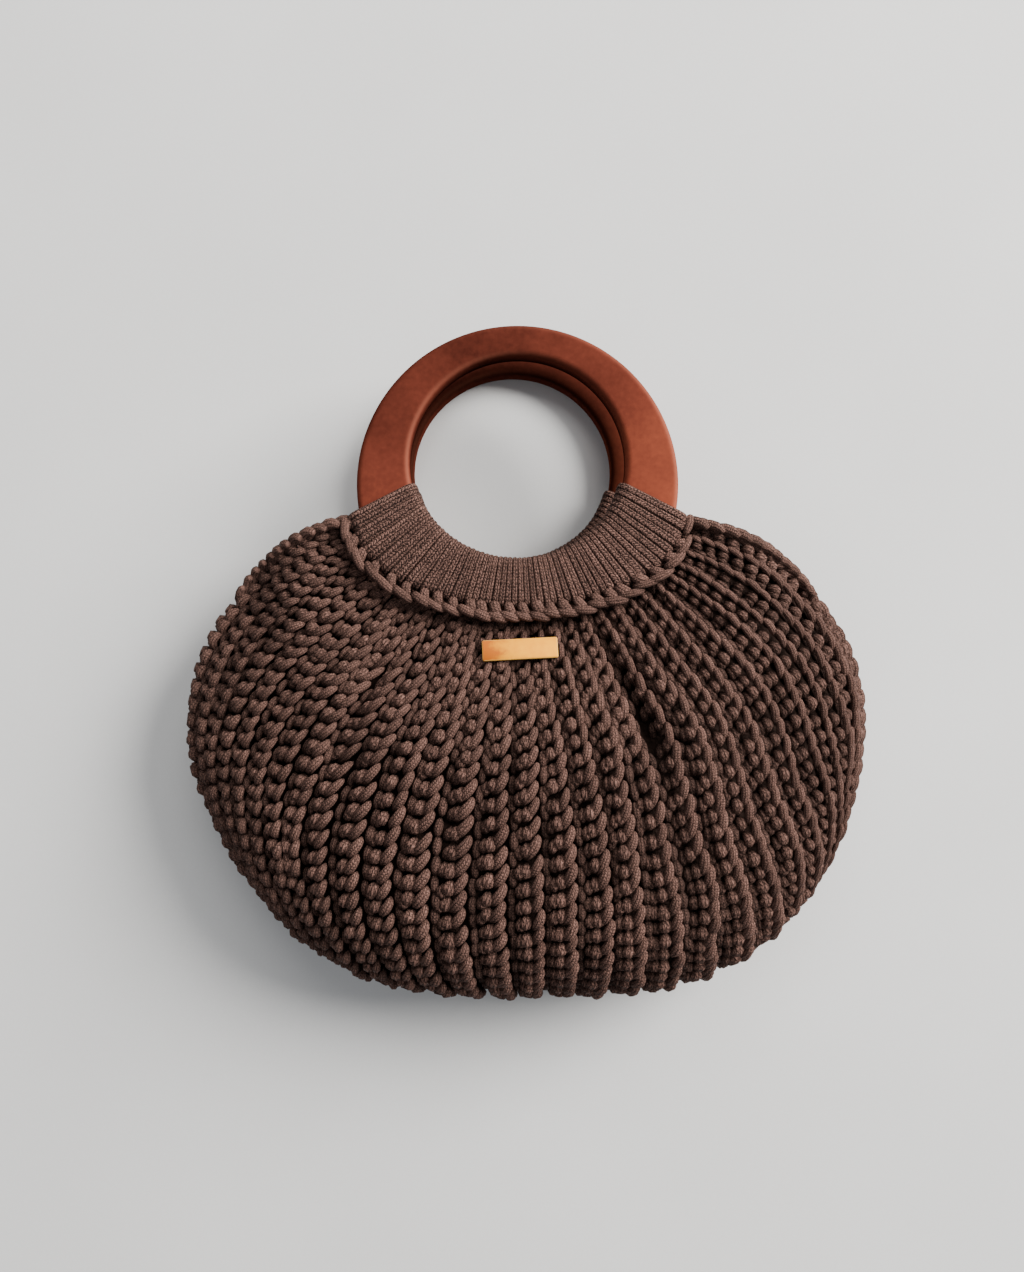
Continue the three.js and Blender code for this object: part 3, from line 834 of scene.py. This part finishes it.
bump = dict(
    across=(0.02, 0.02, 0.01, -0.01, -0.03, -0.06, -0.1),
    along=(-0.05, -0.09, -0.17, -0.29, -0.42, -0.52, -0.74), sink=(6.8, 4.6, 2.8, 2.7, 4.3, 6.2, 7.8),
    thick=(0.7, 0.9, 1.05, 1.08, 0.95, 0.75, 0.6), radius=2.15, wide=1.1, rings=9, sides=7, hinge=-0.1,
    slant=(1.5, 2, 1.8, 1.2, 1.1, 0.7, 0.5), lower=(0.6, 0.5, 0.1, -0.1, 0.7, 1.9, 0.4),
    thin=(1, 1.02, 1.04, 1.06, 1.02, 0.98, 1.1), aside=(-0.22, -0.27, -0.25, -0.12, -0.02, 0, 0),
    level=none, stretch=(1.2, 1.2, 1.1, 1.1, 1.35, 1.4, 1.35), raised=(0.12, 0.2, 0.22, 0.14, 0, 0, 0))
knuckle = dict(
    across=(-0.21, -0.22, -0.24, -0.27, -0.3), along=(-0.04, -0.16, -0.3, -0.47, -0.74),
    sink=(6.9, 4.3, 3.2, 4.7, 7.8), thick=(0.75, 1, 1.08, 0.97, 0.65), radius=1.95, wide=1.05,
    rings=7, sides=6, hinge=-0.3, slant=(3.2, 3.2, 2.2, 1, 1, 1, 1),
    lower=(0.6, 0.9, 0.9, 0.4, 1.9, 2.6, 0.4), thin=(1.15, 1.2, 1.17, 1.12, 1.02, 1, 1.2),
    aside=(-0.06, -0.08, -0.08, -0.04, 0, 0, 0), level=none,
    stretch=(1.2, 1.2, 1.1, 1, 1.15, 1.2, 1.25), raised=(0.1, 0.1, 0.1, 0.05, 0, 0, 0))
valley = dict(
    across=(0.6, 0.585, 0.575, 0.575, 0.59), along=(0.5, 0.25, -0.02, -0.3, -0.55),
    sink=(8, 6.4, 5.8, 6.5, 8), thick=(0.7, 0.95, 1, 0.9, 0.65), radius=1.8, wide=1, rings=7,
    sides=6, hinge=0.6, slant=same, lower=(-1.3, -1.5, -1.3, -0.6, 0.2, 1.2, -0.6),
    thin=(1, 1, 1, 1.1, 1.3, 1.2, 1.3), aside=(-0.1, -0.1, -0.08, -0.03, 0, 0, 0), level=none,
    stretch=(1, 1, 1, 1, 1, 1, 1.2), raised=none)
# thinner where the pitches are smaller, calm near the bottom fold, and deep in the first rows
laid = dict(
    ribPitch=12, stitchPitch=8.7, ribPower=0.6, stitchPower=0.3, gatherLimits=(0.5, 1.35),
    thickPower=0.75, sinkMost=1.1, acrossJitter=0.02, alongJitter=0.05, sinkJitter=0.3,
    thickSpread=(0.92, 1.08), foldCalm=6, neckDip=4.6, neckRows=1.5, deepFrom=2.4, deepOver=4.5)
unrest = dict(wander=(0.06, 12), height=(0.55, 16), start=0.3, phase=(0.12, 10), slant=(0.16, 9))


def softField(spread, knots):
    # a random value for each rib at some knots along it, eased from knot to knot
    values = rng.normal(0, spread, (ribs, knots + 1))
    at = np.linspace(0, knots - 0.001, stitches)
    low = at.astype(int)
    part = smooth(at - low, 1)
    return values[:, low] * (1 - part) + values[:, low + 1] * part


ribWander, ribHeight = softField(*unrest["wander"]), softField(*unrest["height"])
ribStart = rng.uniform(-unrest["start"], unrest["start"], (ribs, 1))
ribPhase = ribStart + softField(*unrest["phase"])
ribSlant = softField(*unrest["slant"])


def makeStitches(name, strand, first, last):
    # a strand at every rib and stitch: places on the fabric less the outward direction times depth
    rows = throughRows(strand, ("across", "along", "sink", "thick"), strand["rings"])
    rib, stitch = np.meshgrid(np.arange(ribs), np.arange(first, last), indexing="ij")
    rib, stitch = rib.reshape(-1, 1), stitch.reshape(-1, 1)
    count = len(rib)
    fromMiddle = (rib + 0.5) / ribs * 2 - 1
    slant, lower, thin, aside, level, stretch, raised = (
        np.interp(fromMiddle, acrossMarks, strand[key])
        for key in ("slant", "lower", "thin", "aside", "level", "stretch", "raised"))
    slant = slant * (1 + ribSlant[rib, stitch])
    lower = lower * smooth(np.abs(stitch + 0.5 - stitches / 2), laid["foldCalm"])
    ribAt = rib + 0.5 + strand["hinge"] + (rows[:, 0] - strand["hinge"]) * slant
    ribAt = ribAt + aside + ribWander[rib, stitch] + rng.normal(0, laid["acrossJitter"], (count, 1))
    middle = rows[:, 1].mean()
    stitchAt = stitch + 0.5 - middle - (rows[:, 1] - middle) * stretch - raised
    stitchAt = stitchAt + ribPhase[rib, stitch] + rng.normal(0, laid["alongJitter"], (count, 1))
    spot, out, ribPitch, stitchPitch = onFabric(ribAt, stitchAt)
    gather = (ribPitch / laid["ribPitch"]) ** laid["ribPower"]
    gather = gather * (stitchPitch / laid["stitchPitch"]) ** laid["stitchPower"]
    gather = np.clip(gather, *laid["gatherLimits"])
    sunk = rows[:, 2] + (rows[:, 2].min() - rows[:, 2]) * level
    sink = sunk * np.minimum(gather, laid["sinkMost"]) + lower + ribHeight[rib, stitch]
    sink = sink + rng.normal(0, laid["sinkJitter"], (count, 1))
    fromNeck = np.minimum(stitchAt, stitches - stitchAt)
    sink = sink + laid["neckDip"] * (1 - smooth(fromNeck, laid["neckRows"]))
    path = spot - out * sink[..., None]
    thick = strand["radius"] * rows[:, 3] * gather ** laid["thickPower"] * thin
    thick = thick * tipThinning(strand["rings"]) * rng.uniform(*laid["thickSpread"], (count, 1))
    points, faces, uv = tubeStrands(path, out, thick * strand["wide"], thick, strand["sides"])
    # painted shade: darker the deeper a strand sinks between its neighbours
    deep = np.clip((sink - laid["deepFrom"]) / laid["deepOver"], 0, 1).ravel()
    marks = cordMarks(count, points, np.repeat(deep, strand["sides"]))
    makePiece(name, onFloor(points), faces, cordMaterial, uv, marks)


half = stitches // 2
makeStitches("stitch_ropes_front", rope, 0, half)
makeStitches("stitch_ropes_back", rope, half, stitches)
makeStitches("stitch_bumps_front", bump, 0, half)
makeStitches("stitch_bumps_back", bump, half, stitches)
makeStitches("stitch_knuckles", knuckle, 0, stitches)
makeStitches("stitch_valleys", valley, 0, stitches)


# Wall under the stitches: an outer and an inner sheet, joined at the mouth and the side slits; the outer
# sheet's nearly black colour is painted shade

wall = dict(columns=104, rows=80, outer=7.9, groove=0.5, inner=9.6, probe=0.012)


def outward(surface, side, across, along):
    # direction out of a surface, square to a small step each way
    probe = wall["probe"]
    s, v = np.clip(across, probe - 1, 1 - probe), np.clip(along, probe, 1 - probe)
    ribWay = surface(s + probe, v) - surface(s - probe, v)
    alongWay = surface(s, v + probe) - surface(s, v - probe)
    return unit(np.cross(alongWay, ribWay)) * side


def wallQuads(grid, flip):
    found = np.stack([grid[:-1, :-1], grid[:-1, 1:], grid[1:, 1:], grid[1:, :-1]], axis=-1)
    found = found.reshape(-1, 4)
    return found[:, ::-1] if flip else found


def makeWall():
    # surface less the outward direction times a depth, with a cosine groove between the ribs;
    # front and back share points along the bottom fold and the closed sides
    across, along = np.meshgrid(np.linspace(-1, 1, wall["columns"] + 1),
                                np.linspace(0, 1, wall["rows"] + 1), indexing="ij")
    front, back = frontPoints(across, along), backPoints(across, along)
    frontOut = outward(frontPoints, 1, across, along)
    backOut = outward(backPoints, -1, across, along)
    slit = int(round(body["slitEnd"] * wall["rows"]))
    joined = np.zeros(across.shape, dtype=bool)
    joined[:, -1] = True
    joined[[0, -1], slit:] = True
    both = unit(frontOut + backOut)
    frontOut[joined], backOut[joined] = both[joined], both[joined]
    groove = wall["outer"] + wall["groove"] * np.cos((across + 1) * np.pi * ribs)
    sheets = [front - frontOut * groove[..., None], back - backOut * groove[..., None],
              front - frontOut * wall["inner"], back - backOut * wall["inner"]]
    total = across.size
    ids = [np.arange(total).reshape(across.shape) + k * total for k in range(len(sheets))]
    ids[1] = np.where(joined, ids[0], ids[1])
    ids[3] = np.where(joined, ids[2], ids[3])
    faces = [wallQuads(grid, flip) for grid, flip in zip(ids, (False, True, True, False))]
    mouth, right, left = np.s_[:, 0], np.s_[-1, :slit + 1], np.s_[0, :slit + 1]
    for outer, inner, flip in ((ids[0], ids[2], False), (ids[1], ids[3], True)):
        for line, turned in ((mouth, flip), (right, flip), (left, not flip)):
            faces.append(wallQuads(np.stack([outer[line], inner[line]]), turned))
    faces = np.concatenate(faces)
    used, renumbered = np.unique(faces, return_inverse=True)
    points = np.concatenate([sheet.reshape(-1, 3) for sheet in sheets])[used]
    uv = np.stack([(across + 1) / 2 * ribs, along / 2 * stitches], axis=-1)
    uv = uv.reshape(-1, 2)[faces.ravel() % total]
    inside = (used >= 2 * total).astype(float)
    piece = makePiece("bag_wall", onFloor(points), [renumbered.reshape(-1, 4)], wallMaterial, uv,
                      dict(inside=inside))
    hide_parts("bag_body")


makeWall()


# Braided edge of the side slits: slanted links from the front neck to the slit's end and back up

twist = dict(
    run=(-0.9, -0.52, 0, 0.52, 0.9), aside=(-2.3, -1.7, 0, 1.7, 2.3),
    rise=(-1.7, 0.2, 1, 0.2, -1.7), thick=(0.6, 0.97, 1.08, 0.97, 0.6), radius=2.4, links=23, rings=7,
    sides=7, inset=2.4, endInset=3, endPower=2, tipInset=4.5, tipPower=12, samples=60, start=0.02,
    nearEdge=0.96, runJitter=0.06, thickSpread=(0.92, 1.08))


def makeEdgeBraid(name, side):
    # path point + aside and rise in the path's own frame, inset deeper toward the slit's end
    rows = throughRows(twist, ("run", "aside", "rise", "thick"), twist["rings"])
    start, samples, links = twist["start"], twist["samples"], twist["links"]
    share = np.concatenate([np.linspace(start, 1, samples), np.linspace(1, start, samples)[1:]])
    share = share * body["slitEnd"]
    edge, near = np.full_like(share, side), np.full_like(share, side * twist["nearEdge"])
    atFront = (np.arange(len(share)) < samples)[:, None]
    line = np.where(atFront, frontPoints(edge, share), backPoints(edge, share))
    inner = np.where(atFront, frontPoints(near, share), backPoints(near, share))
    guide = np.concatenate([line, unit(line - inner)], axis=-1)
    length = np.concatenate([[0], np.cumsum(lengths(np.diff(line, axis=0)))])
    linkAt = np.arange(links)[:, None] + 0.5 + rng.normal(0, twist["runJitter"], (links, 1))
    goal = np.clip((linkAt + rows[:, 0]) / links, 0, 1) * length[-1]
    found = np.stack([np.interp(goal, length, guide[:, k]) for k in range(6)], axis=-1)
    spot, out = found[..., :3], unit(found[..., 3:])
    aside = unit(np.cross(np.gradient(spot, axis=1), out))
    toEnd = 1 - np.abs(goal / length[-1] * 2 - 1)
    inset = twist["inset"] + twist["endInset"] * toEnd ** twist["endPower"]
    inset = inset + twist["tipInset"] * toEnd ** twist["tipPower"]
    path = spot + aside * rows[:, 1, None] + out * (rows[:, 2] - inset)[..., None]
    thick = twist["radius"] * rows[:, 3] * rng.uniform(*twist["thickSpread"], (links, 1))
    points, faces, uv = tubeStrands(path, out, thick, thick, twist["sides"])
    makePiece(name, onFloor(points), faces, cordMaterial, uv, cordMarks(links, points))


makeEdgeBraid("slit_braid_left", -1)
makeEdgeBraid("slit_braid_right", 1)


# Label plate with softened edges

plate = dict(
    width=35, height=9.8, thickness=1.6, turn=3, across=0.01, along=0.069, gap=1.1, corner=0.9,
    edge=0.3, steps=6)


def makeLabel():
    # rounded rectangle carried up through four rings, the first and last drawn in
    turn, signs = cornerTurns(plate["steps"])
    centre = signs * (np.array([plate["width"], plate["height"]]) / 2 - plate["corner"])
    inset = np.array([plate["edge"], 0, 0, plate["edge"]])[:, None, None]
    flat = centre + (plate["corner"] - inset) * np.stack([np.cos(turn), np.sin(turn)], axis=-1)
    rise = np.array([0, plate["edge"], plate["thickness"] - plate["edge"], plate["thickness"]])
    rise = (rise + plate["gap"])[:, None, None]
    tilt = np.radians(plate["turn"])
    at = np.array([plate["across"]]), np.array([plate["along"]])
    out = outward(frontPoints, 1, *at)[0]
    right = unit(np.array([1.0, 0, 0]) - out * out[0])
    up = np.cross(out, right)
    x = flat[..., 0] * np.cos(tilt) - flat[..., 1] * np.sin(tilt)
    y = flat[..., 0] * np.sin(tilt) + flat[..., 1] * np.cos(tilt)
    points = frontPoints(*at)[0] + x[..., None] * right + y[..., None] * up + rise * out
    index = np.arange(points.shape[0] * points.shape[1]).reshape(points.shape[:2])
    beside = np.roll(index, -1, axis=1)
    quads = np.stack([index[:-1], beside[:-1], beside[1:], index[1:]], axis=-1).reshape(-1, 4)
    faces = [quads, index[:1, ::-1], index[-1:]]
    uv = np.concatenate([flat.reshape(-1, 2)[part.ravel()] for part in faces])
    piece = makePiece("label_plate", points.reshape(-1, 3), faces, labelMaterial, uv)
    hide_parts("label")


makeLabel()
